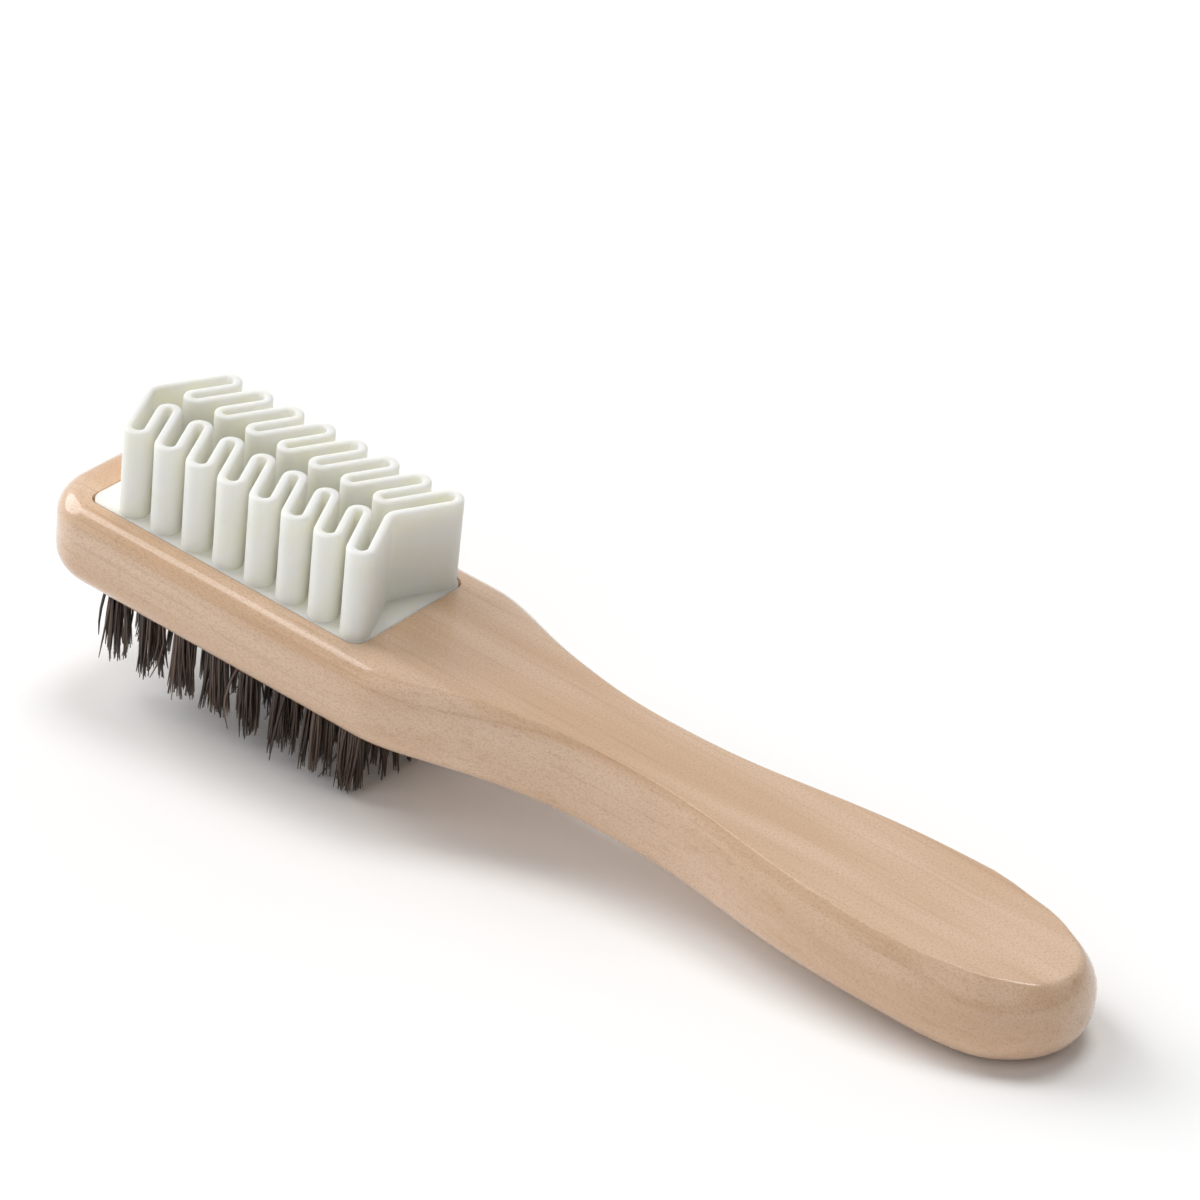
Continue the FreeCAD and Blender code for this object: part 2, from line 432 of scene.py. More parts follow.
class Outline:
    """A closed plan outline through knots, drawn by a curve."""

    def __init__(self, knots: Sequence[Knot], steps: int) -> None:
        """Keeps the knots, and how many steps each curved stretch has."""
        self.knots = knots
        self.steps = steps

    @classmethod
    def mirrored(cls, half: Sequence[Knot], steps: int) -> "Outline":
        """Closes an outline with its mirror image.

        Args:
            half: The knots on one side, whose first and last may lie on the middle plane.
            steps: How many steps each curved stretch has.

        Returns:
            The closed outline.
        """
        back = [knot.across() for knot in reversed(half) if abs(knot.at.y) > SAME_PLACE]
        return cls(list(half) + back, steps)

    @classmethod
    def rounded_rectangle(cls, start: float, length: float, width: float, corner: float, out: float,
                          steps: int) -> "Outline":
        """A rectangle with round corners about the middle plane.

        Args:
            start: Where it starts along X.
            length: Its length along X.
            width: Its width across.
            corner: The radius of its corners.
            out: How far all of it is then moved out, or in if this is below zero.
            steps: How many steps each corner has.

        Returns:
            The outline.
        """
        front = start - out
        back = start + length + out
        side = width / 2 + out
        radius = corner + out
        lever = radius * (1 - QUARTER_LEVER)
        half = [
            Knot(Vector((front, 0))),
            Knot(Vector((front, side - radius)), None, Vector((front, side - lever))),
            Knot(Vector((front + radius, side)), Vector((front + lever, side)), None),
            Knot(Vector((back - radius, side)), None, Vector((back - lever, side))),
            Knot(Vector((back, side - radius)), Vector((back, side - lever)), None),
            Knot(Vector((back, 0))),
        ]
        return cls.mirrored(half, steps)

    def points(self) -> list[Vector]:
        """Draws the outline.

        Returns:
            Its points in order, as the curve gives them.
        """
        curve = bpy.data.curves.new("outline", "CURVE")
        curve.dimensions = "3D"
        curve.resolution_u = self.steps
        spline = curve.splines.new("BEZIER")
        spline.use_cyclic_u = True
        spline.bezier_points.add(len(self.knots) - 1)
        for point, knot in zip(spline.bezier_points, self.knots):
            point.co = knot.at.to_3d()
            point.handle_left_type = "VECTOR" if knot.before is None else "FREE"
            point.handle_right_type = "VECTOR" if knot.after is None else "FREE"
            if knot.before is not None:
                point.handle_left = knot.before.to_3d()
            if knot.after is not None:
                point.handle_right = knot.after.to_3d()
        holder = bpy.data.objects.new("outline", curve)
        drawn = bpy.data.meshes.new_from_object(holder)
        places = [vertex.co.copy() for vertex in drawn.vertices]
        bpy.data.meshes.remove(drawn)
        bpy.data.objects.remove(holder)
        bpy.data.curves.remove(curve)
        return places

    def at_level(self, level: float) -> list[Vector]:
        """The outline's points at a level."""
        return [Vector((point.x, point.y, level)) for point in self.points()]


def parts_of(geometry: Sequence[Any], kind: type) -> list[Any]:
    """The vertices, edges or faces among what an operator made."""
    return [part for part in geometry if isinstance(part, kind)]


class Shell:
    """A surface that grows ring by ring from closed outlines."""

    def __init__(self) -> None:
        """Starts empty, with a layer that remembers each point's number on its ring."""
        self.mesh = bmesh.new()
        self.number = self.mesh.verts.layers.int.new("number")

    def start(self, points: Sequence[Vector]) -> Ring:
        """Lays down a closed ring.

        Args:
            points: The ring's points in order.

        Returns:
            The ring's edges.
        """
        made = []
        for number, point in enumerate(points):
            vertex = self.mesh.verts.new(point)
            vertex[self.number] = number
            made.append(vertex)
        return [self.mesh.edges.new((made[number - 1], made[number])) for number in range(len(made))]

    def grow(self, ring: Ring, points: Sequence[Vector]) -> Ring:
        """Extrudes a ring to new places.

        Args:
            ring: The edges of the ring that the surface grows from.
            points: Where the points of the new ring lie, in the same order.

        Returns:
            The new ring's edges.
        """
        made = bmesh.ops.extrude_edge_only(self.mesh, edges=ring)["geom"]
        for vertex in parts_of(made, bmesh.types.BMVert):
            vertex.co = points[vertex[self.number]]
        return [edge for edge in parts_of(made, bmesh.types.BMEdge) if edge.is_boundary]

    def fill(self, rings: Sequence[Ring], facing: tuple[float, float, float]) -> None:
        """Fills the flat between an outer ring and the rings inside it."""
        edges = [edge for ring in rings for edge in ring]
        bmesh.ops.triangle_fill(self.mesh, edges=edges, use_beauty=True, normal=facing)

    def fill_between(self, outer: Ring, inner: Ring) -> None:
        """Fills the flat between two rings in two halves, which meet on the middle plane.

        Args:
            outer: The outer ring.
            inner: The ring inside it.
        """
        crossings = []
        for ring in (outer, inner):
            points = {vertex for edge in ring for vertex in edge.verts if abs(vertex.co.y) < SAME_PLACE}
            crossings.append(sorted(points, key=lambda vertex: vertex.co.x))
        joins = [self.mesh.edges.new(pair) for pair in zip(*crossings)]
        for side in (-1, 1):
            half = [edge for edge in outer + inner if side * (edge.verts[0].co.y + edge.verts[1].co.y) > 0]
            bmesh.ops.edgeloop_fill(self.mesh, edges=half + joins)


def finished_piece(name: str, mesh: bmesh.types.BMesh, bench: Bench, material: bpy.types.Material,
                   node: str, sharp: float) -> bpy.types.Object:
    """Lays a modelled piece down in the row frame and hands it to the frame.

    Args:
        name: The piece's name.
        mesh: The piece on the bench; it is used up.
        bench: How the bench lies.
        material: The piece's finish.
        node: The CAD node that the piece stands for.
        sharp: Edges that turn by more than this many degrees stay crisp, like the rims of wide flat faces.

    Returns:
        The piece.
    """
    bmesh.ops.transform(mesh, matrix=bench.to_row, verts=mesh.verts)
    bmesh.ops.recalc_face_normals(mesh, faces=mesh.faces)
    for face in mesh.faces:
        face.smooth = True
    for edge in mesh.edges:
        beside_flat = any(len(face.verts) > QUAD_CORNERS for face in edge.link_faces)
        edge.smooth = not beside_flat and edge.calc_face_angle(0.0) < math.radians(sharp)
    data = bpy.data.meshes.new(name)
    mesh.to_mesh(data)
    mesh.free()
    data.materials.append(material)
    piece = bpy.data.objects.new(name, data)
    bpy.context.scene.collection.objects.link(piece)
    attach(piece, BODY)
    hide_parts(node)
    log.info("%s stands for %s, with %d faces", name, node, len(data.polygons))
    return piece


@dataclass(frozen=True)
class Along:
    """A size that changes along the handle: stations of a place and a size, eased between."""

    stations: tuple[tuple[float, float], ...]

    def at(self, x: float) -> float:
        """Finds the size at a place.

        Args:
            x: The place along the handle.

        Returns:
            The size there.
        """
        size = self.stations[0][1]
        for (start, first), (end, last) in zip(self.stations, self.stations[1:]):
            if x > start:
                share = min((x - start) / (end - start), 1.0)
                size = blended(first, last, share * share * (3 - 2 * share))
        return size


@dataclass(frozen=True)
class RoundedEdge:
    """An edge of the handle in two arcs: one leaves the upright side and one runs onto the flat."""

    side_round: Along
    flat_round: Along
    join_tilt: Along
    flat: float
    upwards: int

    def ring(self, plan: Sequence[Vector], inwards: Sequence[Vector], share: float,
             margin: float = 0.0) -> list[Vector]:
        """One ring of the edge.

        Args:
            plan: The plan outline.
            inwards: The direction into the wood at each point of it.
            share: How far round the edge, from 0 at the upright side by 0.5 at the join to 1 at the flat.
            margin: How far the ring lies in from the edge.

        Returns:
            The ring's points.
        """
        ring = []
        for point, inward in zip(plan, inwards):
            side = self.side_round.at(point.x)
            flat = self.flat_round.at(point.x)
            join = math.radians(self.join_tilt.at(point.x))
            on_side = join * min(2 * share, 1.0)
            on_flat = blended(join, math.pi / 2, max(2 * share - 1, 0.0))
            inset = side * (1 - math.cos(on_side)) + flat * (math.cos(join) - math.cos(on_flat))
            short = side * (math.sin(join) - math.sin(on_side)) + flat * (1 - math.sin(on_flat))
            place = point + inward * (inset + margin)
            place.z = self.flat - self.upwards * short
            ring.append(place)
        return ring


@dataclass
class Handle:
    """The wooden handle, with the pocket for the insert in its top and the drilled holes below."""

    head_width: float = 31.44
    thickness: float = 12.9
    nose_corner: float = 9.6
    shoulder_x: float = 60.6
    shoulder_ease: float = 9.2
    neck_x: float = 98.1
    neck_width: float = 13.9
    neck_front_ease: float = 18.7
    neck_back_ease: float = 21.2
    grip_x: float = 151.0
    grip_width: float = 24.8
    grip_front_ease: float = 30.3
    grip_back_ease: float = 13.7
    tail_x: float = 169.9
    tail_bluntness: float = 6.0
    side_round: Along = Along((
        (62.0, 3.7), (98.0, 10.3), (130.0, 13.5), (156.0, 13.6), (163.0, 12.0), (169.9, 7.7)))
    side_tilt: Along = Along((
        (62.0, 45.0), (98.0, 22.0), (130.0, 26.0), (147.0, 27.0), (156.0, 36.0), (163.0, 40.0)))
    ridge_round: Along = Along(((62.0, 3.7), (86.0, 0.3), (160.0, 0.35), (169.9, 1.8)))
    under_round: Along = Along(((60.6, 4.4), (98.1, 2.2), (151.0, 4.6), (160.0, 4.6), (169.9, 6.0)))
    under_tilt: Along = Along(((0.0, 45.0),))
    pocket_start: float = 7.1
    pocket_length: float = 50.5
    pocket_width: float = 23.24
    pocket_corner: float = 2.0
    pocket_depth: float = 3.5
    rim_break: float = 0.1
    hole_diameter: float = 3.2
    hole_depth: float = 7.0
    flat_margin: float = 0.4
    outline_steps: int = 26
    round_steps: int = 10
    hole_sides: int = 14
    sharp: float = 40.0

    def outline(self) -> Outline:
        """Draws the handle's plan, from the nose to the tail and back.

        Returns:
            The closed outline.
        """
        side = self.head_width / 2
        neck = self.neck_width / 2
        grip = self.grip_width / 2
        corner = self.nose_corner
        lever = corner * (1 - QUARTER_LEVER)
        half = [
            Knot(Vector((0, side - corner)), None, Vector((0, side - lever))),
            Knot(Vector((corner, side)), Vector((lever, side)), None),
            Knot(Vector((self.shoulder_x, side)), None,
                 Vector((self.shoulder_x + self.shoulder_ease, side))),
            Knot(Vector((self.neck_x, neck)), Vector((self.neck_x - self.neck_front_ease, neck)),
                 Vector((self.neck_x + self.neck_back_ease, neck))),
            Knot(Vector((self.grip_x, grip)), Vector((self.grip_x - self.grip_front_ease, grip)),
                 Vector((self.grip_x + self.grip_back_ease, grip))),
            Knot(Vector((self.tail_x, 0)), Vector((self.tail_x, self.tail_bluntness)),
                 Vector((self.tail_x, -self.tail_bluntness))),
        ]
        return Outline.mirrored(half, self.outline_steps)

    def rounded_edge(self, shell: Shell, ring: Ring, edge: RoundedEdge, plan: Sequence[Vector],
                     inwards: Sequence[Vector]) -> Ring:
        """Grows a rounded edge from the upright side to a flat face.

        Args:
            shell: The surface.
            ring: The ring at the top or the foot of the upright side.
            edge: The shape of the edge.
            plan: The plan outline.
            inwards: The direction into the wood at each point of it.

        Returns:
            The ring on the flat face.
        """
        for step in range(1, self.round_steps + 1):
            ring = shell.grow(ring, edge.ring(plan, inwards, step / self.round_steps))
        return shell.grow(ring, edge.ring(plan, inwards, 1.0, self.flat_margin))

    def pocket(self, shell: Shell) -> Ring:
        """Sinks the pocket for the insert.

        Args:
            shell: The surface.

        Returns:
            The pocket's rim in the flat top.
        """
        rim = []
        ring = []
        for step in range(self.round_steps // 2 + 1):
            turn = math.pi / 2 * step / (self.round_steps // 2)
            out = self.rim_break * (1 - math.sin(turn))
            level = -self.rim_break * (1 - math.cos(turn))
            points = self.pocket_points(out, level)
            ring = shell.grow(ring, points) if ring else shell.start(points)
            rim = rim or ring
        ring = shell.grow(ring, self.pocket_points(0.0, -self.pocket_depth))
        bmesh.ops.edgeloop_fill(shell.mesh, edges=ring)
        return rim

    def pocket_points(self, out: float, level: float) -> list[Vector]:
        """The pocket's outline, moved out by a little, at a level."""
        outline = Outline.rounded_rectangle(self.pocket_start, self.pocket_length, self.pocket_width,
                                            self.pocket_corner, out, self.round_steps)
        return outline.at_level(level)

    def holes(self, shell: Shell, places: Sequence[Vector]) -> list[Ring]:
        """Drills the holes of the tufts.

        Args:
            shell: The surface.
            places: The middle of each hole in plan.

        Returns:
            The holes' rims in the underside.
        """
        rims = []
        for place in places:
            mouth = Matrix.Translation(Vector((place.x, place.y, -self.thickness)))
            circle = bmesh.ops.create_circle(shell.mesh, segments=self.hole_sides,
                                             radius=self.hole_diameter / 2, matrix=mouth)
            rim = list(dict.fromkeys(edge for vertex in circle["verts"] for edge in vertex.link_edges))
            rims.append(rim)
            made = bmesh.ops.extrude_edge_only(shell.mesh, edges=rim)["geom"]
            lifted = parts_of(made, bmesh.types.BMVert)
            bmesh.ops.translate(shell.mesh, vec=(0, 0, self.hole_depth), verts=lifted)
            end = [edge for edge in parts_of(made, bmesh.types.BMEdge) if edge.is_boundary]
            bmesh.ops.edgeloop_fill(shell.mesh, edges=end)
        return rims

    def build(self, bench: Bench, tuft_places: Sequence[Vector], finish: WoodFinish) -> bpy.types.Object:
        """Models the handle and dresses it.

        Args:
            bench: How the bench lies.
            tuft_places: The middle of each tuft's hole in plan.
            finish: The wood's finish.

        Returns:
            The piece.
        """
        shell = Shell()
        plan = self.outline().points()
        after = plan[1:] + plan[:1]
        before = plan[-1:] + plan[:-1]
        inwards = [(end - start).cross(Vector((0, 0, 1))).normalized() for start, end in zip(before, after)]
        top = RoundedEdge(self.side_round, self.ridge_round, self.side_tilt, flat=0.0, upwards=1)
        under = RoundedEdge(self.under_round, self.under_round, self.under_tilt,
                            flat=-self.thickness, upwards=-1)
        waist = shell.start(top.ring(plan, inwards, 0.0))
        foot = shell.grow(waist, under.ring(plan, inwards, 0.0))
        top_ring = self.rounded_edge(shell, waist, top, plan, inwards)
        under_ring = self.rounded_edge(shell, foot, under, plan, inwards)
        shell.fill([top_ring, self.pocket(shell)], (0, 0, 1))
        shell.fill([under_ring] + self.holes(shell, tuft_places), (0, 0, -1))
        return finished_piece("wooden_handle", shell.mesh, bench, finish.material(bench), "handle",
                              self.sharp)


@dataclass
class RubberInsert:
    """The rubber moulding: a crimped wall that closes on itself and stands on a base plate."""

    columns: int = 8
    pitch: float = 5.87
    wall: float = 1.3
    slit: float = 1.05
    slant: float = math.radians(26.0)
    reach: float = 11.2
    middle_gap: float = 1.9
    vertex_round: float = 2.2
    height: float = 14.0
    lip_round: float = 0.4
    foot_round: float = 0.12
    base_start: float = 7.22
    base_margin: float = 0.3
    base_length: float = 50.265
    base_width: float = 23.0
    base_thickness: float = 3.2
    base_corner: float = 2.5
    base_break: float = 0.1
    bend_steps: int = 6
    lip_steps: int = 4
    sharp: float = 50.0

    @property
    def along(self) -> Vector:
        """The way of the slanted legs in plan, from the near side to the middle plane."""
        return Vector((-math.sin(self.slant), math.cos(self.slant)))

    @property
    def across(self) -> Vector:
        """The way across the slanted legs in plan, towards the tail."""
        return Vector((math.cos(self.slant), math.sin(self.slant)))

    def end_turn(self, middle: Vector, radius: float) -> list[Knot]:
        """The turn of an end wall, from the middle plane to its straight leg.

        Args:
            middle: The middle of the turn.
            radius: Its radius.

        Returns:
            The knots on the middle plane and at the leg.
        """
        lever = 4 / 3 * math.tan(self.slant / 4) * radius
        tip = middle - Vector((radius, 0))
        leg = middle - self.across * radius
        return [
            Knot(tip, tip + Vector((0, lever)), tip - Vector((0, lever))),
            Knot(leg, leg + self.along * lever, None),
        ]

    def bend(self, middle: Vector, radius: float, way: Vector) -> list[Knot]:
        """A half turn of the wall.

        Args:
            middle: The middle of the turn.
            radius: Its radius.
            way: The way from the middle to the crest of the bend.

        Returns:
            The knots at its start, crest and end.
        """
        lever = QUARTER_LEVER * radius
        start = middle - self.across * radius
        crest = middle + way * radius
        end = middle + self.across * radius
        return [
            Knot(start, None, start + way * lever),
            Knot(crest, crest - self.across * lever, crest + self.across * lever),
            Knot(end, end + way * lever, None),
        ]

    def knots(self, offset: float) -> list[Knot]:
        """The near half of the wall's middle line, moved outwards.

        Args:
            offset: How far the line is moved towards the wall's outer face.

        Returns:
            The knots from the front to the back of the middle plane.
        """
        hollow = self.pitch * math.cos(self.slant) - 2 * self.wall - self.slit
        outer = (hollow + self.wall) / 2
        inner = (self.slit + self.wall) / 2
        outer_y = self.reach - outer - self.wall / 2
        inner_y = self.middle_gap / 2 + inner + self.wall / 2
        vertex_offset = outer / math.cos(self.slant) + outer_y * math.tan(self.slant)
        vertex_middle = self.vertex_round / math.cos(self.slant)
        front = vertex_offset - vertex_middle + self.vertex_round + self.wall / 2
        first = Vector((self.base_start + self.base_margin + front, -outer_y))
        leg = (outer_y - inner_y) / math.cos(self.slant) - self.pitch / 2 * math.sin(self.slant)
        to_cap = self.across * (self.pitch / 2 * math.cos(self.slant)) + self.along * leg
        front_middle = Vector((first.x - vertex_offset + vertex_middle, 0))
        length = (self.columns - 1) * self.pitch + 2 * outer / math.cos(self.slant)
        back_middle = front_middle + Vector((length, 0))
        knots = self.end_turn(front_middle, self.vertex_round + offset)
        for column in range(self.columns):
            middle = first + Vector((column * self.pitch, 0))
            knots += self.bend(middle, outer + offset, -self.along)
            if column < self.columns - 1:
                knots += self.bend(middle + to_cap, inner - offset, self.along)
        tip, last = self.end_turn(back_middle, self.vertex_round - offset)
        return knots + [Knot(last.at, None, last.before), Knot(tip.at, tip.after, tip.before)]

    def wall_points(self, offset: float, level: float) -> list[Vector]:
        """A ring of the wall at an offset from its middle line and a level."""
        return Outline.mirrored(self.knots(offset), self.bend_steps).at_level(level)

    def profile(self) -> list[tuple[float, float]]:
        """Draws the outer half of the wall's section.

        Returns:
            The offset and the level of each point, from the foot to the lip.
        """
        half = self.wall / 2
        turns = [math.pi / 2 * step / self.lip_steps for step in range(self.lip_steps + 1)]
        section = []
        for turn in turns:
            section.append((half + self.foot_round * (1 - math.sin(turn)),
                            self.foot_round * (1 - math.cos(turn))))
        for turn in turns:
            section.append((half - self.lip_round * (1 - math.cos(turn)),
                            self.height - self.lip_round * (1 - math.sin(turn))))
        return section

    def crimped_wall(self, shell: Shell) -> tuple[Ring, Ring]:
        """Grows the wall round its section.

        Args:
            shell: The surface.

        Returns:
            The rings at the wall's outer and inner foot.
        """
        outer = self.profile()
        section = outer + [(-offset, level) for offset, level in reversed(outer)]
        outer_foot = shell.start(self.wall_points(*section[0]))
        ring = outer_foot
        for offset, level in section[1:]:
            ring = shell.grow(ring, self.wall_points(offset, level))
        return outer_foot, ring

    def base_points(self, inset: float, level: float) -> list[Vector]:
        """The base plate's outline, moved in by a little, at a level."""
        outline = Outline.rounded_rectangle(self.base_start, self.base_length, self.base_width,
                                            self.base_corner, -inset, self.bend_steps)
        return outline.at_level(level)

    def base_plate(self, shell: Shell) -> Ring:
        """Grows the sides of the base plate down from its upper edge and closes it below.

        Args:
            shell: The surface.

        Returns:
            The ring of the plate's upper edge.
        """
        upper = shell.start(self.base_points(self.base_break, 0.0))
        side = shell.grow(upper, self.base_points(0.0, -self.base_break))
        lower = shell.grow(side, self.base_points(0.0, -self.base_thickness))
        bmesh.ops.edgeloop_fill(shell.mesh, edges=lower)
        return upper

    def build(self, bench: Bench, finish: RubberFinish) -> bpy.types.Object:
        """Models the insert and dresses it.

        Args:
            bench: How the bench lies.
            finish: The rubber's finish.

        Returns:
            The piece.
        """
        shell = Shell()
        plate = self.base_plate(shell)
        outer_foot, inner_foot = self.crimped_wall(shell)
        shell.fill_between(plate, outer_foot)
        bmesh.ops.edgeloop_fill(shell.mesh, edges=inner_foot)
        return finished_piece("crimped_insert", shell.mesh, bench, finish.material(bench),
                              "rubber_insert", self.sharp)


class Habit(Enum):
    """How a bristle has grown old: the share of bristles, the bow and the lean in millimetres."""

    STRAIGHT = (0.86, 0.06, 0.06)
    BOWED = (0.11, 0.35, 0.35)
    STRAY = (0.03, 1.3, 1.5)

    @property
    def share(self) -> float:
        """The share of the bristles with this habit."""
        return self.value[0]

    @property
    def bow(self) -> float:
        """How far the middle of the bristle stands off."""
        return self.value[1]

    @property
    def lean(self) -> float:
        """How far the tip stands off."""
        return self.value[2]

    @classmethod
    def drawn(cls, draw: random.Random) -> "Habit":
        """A habit drawn by the shares."""
        return draw.choices(list(cls), [habit.share for habit in cls])[0]


@dataclass(frozen=True)
class Lock:
    """Bristles that cling together: where they start and end, how far they bow and how dark they are."""

    root: Vector
    tip: Vector
    bow: Vector
    shade: float


@dataclass
class BristleTufts:
    """The bristles below the head, in rows of tufts that part into locks."""

    columns: int = 8
    rows: int = 4
    pitch: float = 6.286
    row_pitch: float = 6.28
    setback: float = 12.4
    underside: float = -Handle.thickness
    root_depth: float = 2.5
    root_radius: float = 1.15
    tip_spread: float = 1.7
    length: float = 13.0
    shortest: float = 2.4
    locks: int = 9
    lock_strands: int = 7
    lock_root_width: float = 0.3
    lock_tip_width: float = 0.22
    lock_bow: float = 0.2
    lock_lean: float = 0.22
    lock_jitter: float = 0.5
    lock_trim_power: int = 2
    strand_trim_power: int = 3
    taper_power: int = 3
    strand_radius: float = 0.25
    tip_radius: float = 0.07
    strand_sides: int = 4
    strand_steps: int = 5
    seed: int = 7
    sharp: float = 100.0

    def places(self) -> list[Vector]:
        """Sets out the tufts in plan.

        Returns:
            The middle of every tuft, row by row.
        """
        middles = []
        for row in range(self.rows):
            across = (row - (self.rows - 1) / 2) * self.row_pitch
            for column in range(self.columns):
                middles.append(Vector((self.setback + column * self.pitch, across)))
        return middles

    def strand_template(self) -> bpy.types.Mesh:
        """Models one straight strand of unit radius.

        Returns:
            The strand, with one level for each step along it.
        """
        mesh = bmesh.new()
        bmesh.ops.create_circle(mesh, cap_ends=True, radius=1.0, segments=self.strand_sides)
        end = list(mesh.faces)
        for _ in range(self.strand_steps):
            made = bmesh.ops.extrude_face_region(mesh, geom=end)["geom"]
            bmesh.ops.translate(mesh, vec=(0, 0, 1), verts=parts_of(made, bmesh.types.BMVert))
            end = parts_of(made, bmesh.types.BMFace)
        template = bpy.data.meshes.new("strand")
        mesh.to_mesh(template)
        mesh.free()
        return template

    def sideways(self, draw: random.Random, spread: float) -> Vector:
        """A level step in any direction, about as long as the spread."""
        return Vector((draw.gauss(0, spread), draw.gauss(0, spread), 0))

    def tuft_locks(self, middle: Vector, draw: random.Random) -> list[Lock]:
        """Parts a tuft into locks.

        Args:
            middle: The middle of the tuft in plan.
            draw: The tuft's own random draws.

        Returns:
            The locks, spread evenly over the tuft.
        """
        locks = []
        for number in range(self.locks):
            angle = number * GOLDEN_ANGLE + draw.uniform(-self.lock_jitter, self.lock_jitter)
            out = Vector((math.cos(angle), math.sin(angle), 0)) * math.sqrt((number + 0.5) / self.locks)
            root = Vector((middle.x, middle.y, self.underside + self.root_depth)) + out * self.root_radius
            trim = self.shortest * draw.random() ** self.lock_trim_power
            tip = Vector((middle.x, middle.y, self.underside - self.length + trim))
            tip += out * (self.root_radius * self.tip_spread) + self.sideways(draw, self.lock_lean)
            locks.append(Lock(root, tip, self.sideways(draw, self.lock_bow), draw.random()))
        return locks

    def strand(self, mesh: bmesh.types.BMesh, template: bpy.types.Mesh, lock: Lock,
               draw: random.Random) -> None:
        """Sets one bristle in its lock.

        Args:
            mesh: The tuft.
            template: One straight strand.
            lock: The lock that it clings to.
            draw: The tuft's own random draws.
        """
        habit = Habit.drawn(draw)
        root = lock.root + self.sideways(draw, self.lock_root_width)
        tip = lock.tip + self.sideways(draw, self.lock_tip_width + habit.lean)
        tip.z += self.shortest * draw.random() ** self.strand_trim_power
        bow = lock.bow + self.sideways(draw, habit.bow)
        shade = lock.shade * draw.random()
        turn = Matrix.Rotation(draw.uniform(0, math.pi), 3, "Z")
        start = len(mesh.verts)
        mesh.from_mesh(template)
        mesh.verts.ensure_lookup_table()
        shade_layer = mesh.verts.layers.float["shade"]
        run_layer = mesh.verts.layers.float["run"]
        for vertex in mesh.verts[start:]:
            run = vertex.co.z / self.strand_steps
            radius = blended(self.strand_radius, self.tip_radius, run ** self.taper_power)
            offset = turn @ Vector((vertex.co.x, vertex.co.y, 0)) * radius
            vertex.co = root.lerp(tip, run) + bow * (4 * run * (1 - run)) + offset
            vertex[shade_layer] = shade
            vertex[run_layer] = run

    def build(self, bench: Bench, finish: BristleFinish) -> None:
        """Models every tuft and dresses it.

        Args:
            bench: How the bench lies.
            finish: The bristles' finish.
        """
        template = self.strand_template()
        material = finish.material()
        for number, middle in enumerate(self.places()):
            row, column = divmod(number, self.columns)
            draw = random.Random(self.seed + number)
            mesh = bmesh.new()
            mesh.verts.layers.float.new("shade")
            mesh.verts.layers.float.new("run")
            for lock in self.tuft_locks(middle, draw):
                for _ in range(self.lock_strands):
                    self.strand(mesh, template, lock, draw)
            label = f"{row + 1}_{column + 1}"
            finished_piece("bristles_" + label, mesh, bench, material, "tuft_" + label,
                           self.sharp)
        bpy.data.meshes.remove(template)


@dataclass(frozen=True)
class Lamp:
    """A broad soft light: the way that it comes from, its strength and how wide it is."""

    name: str
    comes_from: tuple[float, float, float]
    strength: float
    width: float

    def hang(self) -> None:
        """Adds the lamp to the scene."""
        light = bpy.data.lights.new(self.name, "SUN")
        light.energy = self.strength
        light.angle = math.radians(self.width)
        lamp = bpy.data.objects.new(self.name, light)
        lamp.rotation_euler = Vector(self.comes_from).to_track_quat("Z", "Y").to_euler()
        bpy.context.scene.collection.objects.link(lamp)


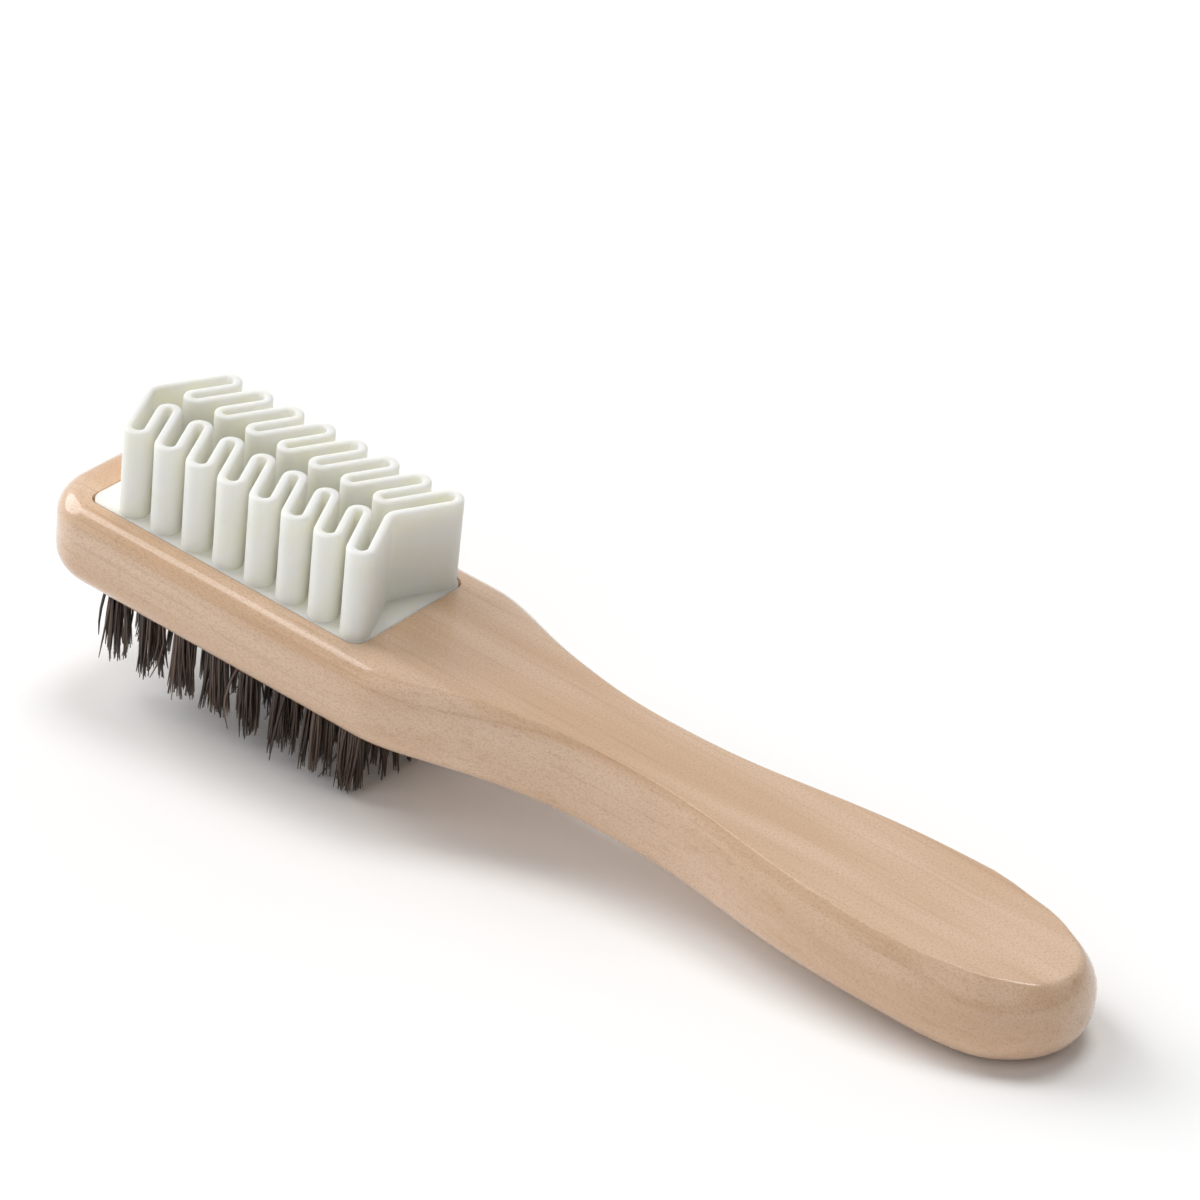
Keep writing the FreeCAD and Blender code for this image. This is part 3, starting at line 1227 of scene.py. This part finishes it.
@dataclass
class Studio:
    """The pale floor, the soft light and the camera."""

    floor_size: float = 8.0
    floor_colour: Colour = tone(254, 254, 254)
    backdrop_colour: Colour = tone(255, 255, 255)
    backdrop: float = 0.55
    backdrop_edges: Edges = (0.1, 0.7)
    ambient: float = 0.12
    lamps: tuple[Lamp, ...] = (
        Lamp("top_light", (0.0, 0.18, 0.98), 0.9, 24.0),
        Lamp("side_light", (-0.84, -0.08, 0.54), 1.45, 40.0),
        Lamp("ridge_light", (-0.48, -0.15, 0.86), 0.45, 22.0),
        Lamp("front_light", (0.10, -0.80, 0.60), 0.65, 60.0),
    )
    target: tuple[float, float, float] = (-6.922, 16.721, 27.692)
    azimuth: float = math.radians(38.470)
    elevation: float = math.radians(29.283)
    roll: float = math.radians(0.164)
    distance: float = 637.5
    lens: float = 139.74
    sensor: float = 36.0

    def floor(self) -> None:
        """Lays the floor, which keeps the shadow of the brush."""
        mesh = bmesh.new()
        bmesh.ops.create_grid(mesh, x_segments=1, y_segments=1, size=self.floor_size / 2)
        data = bpy.data.meshes.new("floor")
        mesh.to_mesh(data)
        mesh.free()
        material = bpy.data.materials.new("floor")
        shader = Shader(material)
        shader.surface(shader.node("ShaderNodeBsdfDiffuse", {}, {"Color": self.floor_colour}))
        data.materials.append(material)
        floor = bpy.data.objects.new("floor", data)
        bpy.context.scene.collection.objects.link(floor)

    def world(self) -> None:
        """Lights the brush softly: a white backdrop behind it and a dim studio in front."""
        world = bpy.data.worlds.new("studio")
        bpy.context.scene.world = world
        shader = Shader(world)
        ray = shader.node("ShaderNodeTexCoord", {}, {}, "Generated")
        behind = (-math.sin(self.azimuth), math.cos(self.azimuth), 0.0)
        facing = shader.node("ShaderNodeVectorMath", {"operation": "DOT_PRODUCT"},
                             {"Vector": ray, "Vector_001": behind}, "Value")
        strength = self.ambient + shader.between(facing, *self.backdrop_edges) * self.backdrop
        inputs = {"Color": self.backdrop_colour, "Strength": strength}
        shader.surface(shader.node("ShaderNodeBackground", {}, inputs), "ShaderNodeOutputWorld")

    def camera(self) -> None:
        """Sets up the camera at the viewing angle of the photograph."""
        turn = Matrix.Rotation(self.azimuth, 4, "Z") @ Matrix.Rotation(math.pi / 2 - self.elevation, 4, "X")
        turn = turn @ Matrix.Rotation(self.roll, 4, "Z")
        place = (Vector(self.target) + turn @ Vector((0, 0, self.distance))) * MILLIMETRE
        data = bpy.data.cameras.new("camera")
        data.lens = self.lens
        data.sensor_width = self.sensor
        camera = bpy.data.objects.new("camera", data)
        camera.matrix_world = Matrix.Translation(place) @ turn
        bpy.context.scene.collection.objects.link(camera)
        bpy.context.scene.camera = camera

    def build(self) -> None:
        """Sets up the whole studio."""
        self.floor()
        self.world()
        for lamp in self.lamps:
            lamp.hang()
        self.camera()
        bpy.context.scene.view_settings.view_transform = "Standard"


def dress_inner_nodes(bench: Bench) -> None:
    """Gives the glue and the anchors, which stay as they are, their finishes.

    Args:
        bench: How the bench lies.
    """
    finishes = {
        "insert_glue": HiddenFinish("glue", tone(236, 228, 206), tone(214, 202, 172),
                                    metallic=0.0, roughness=0.5),
        "tuft_anchors": HiddenFinish("wire", tone(190, 188, 182), tone(150, 146, 138),
                                     metallic=1.0, roughness=0.3),
    }
    for node, finish in finishes.items():
        data = frame["nodes"][node].data
        data.materials.clear()
        data.materials.append(finish.material(bench))
        log.info("%s keeps its shape", node)


def main() -> None:
    """Builds the brush and its studio."""
    logging.basicConfig(level=logging.INFO, format="%(message)s")
    handle = Handle()
    tufts = BristleTufts()
    bench = Bench.under_mount(frame["record"]["mounts"][0], Vector((handle.grip_x, 0, 0)))
    handle.build(bench, tufts.places(), WoodFinish())
    RubberInsert().build(bench, RubberFinish())
    tufts.build(bench, BristleFinish())
    dress_inner_nodes(bench)
    Studio().build()


if __name__ == "__main__":
    main()
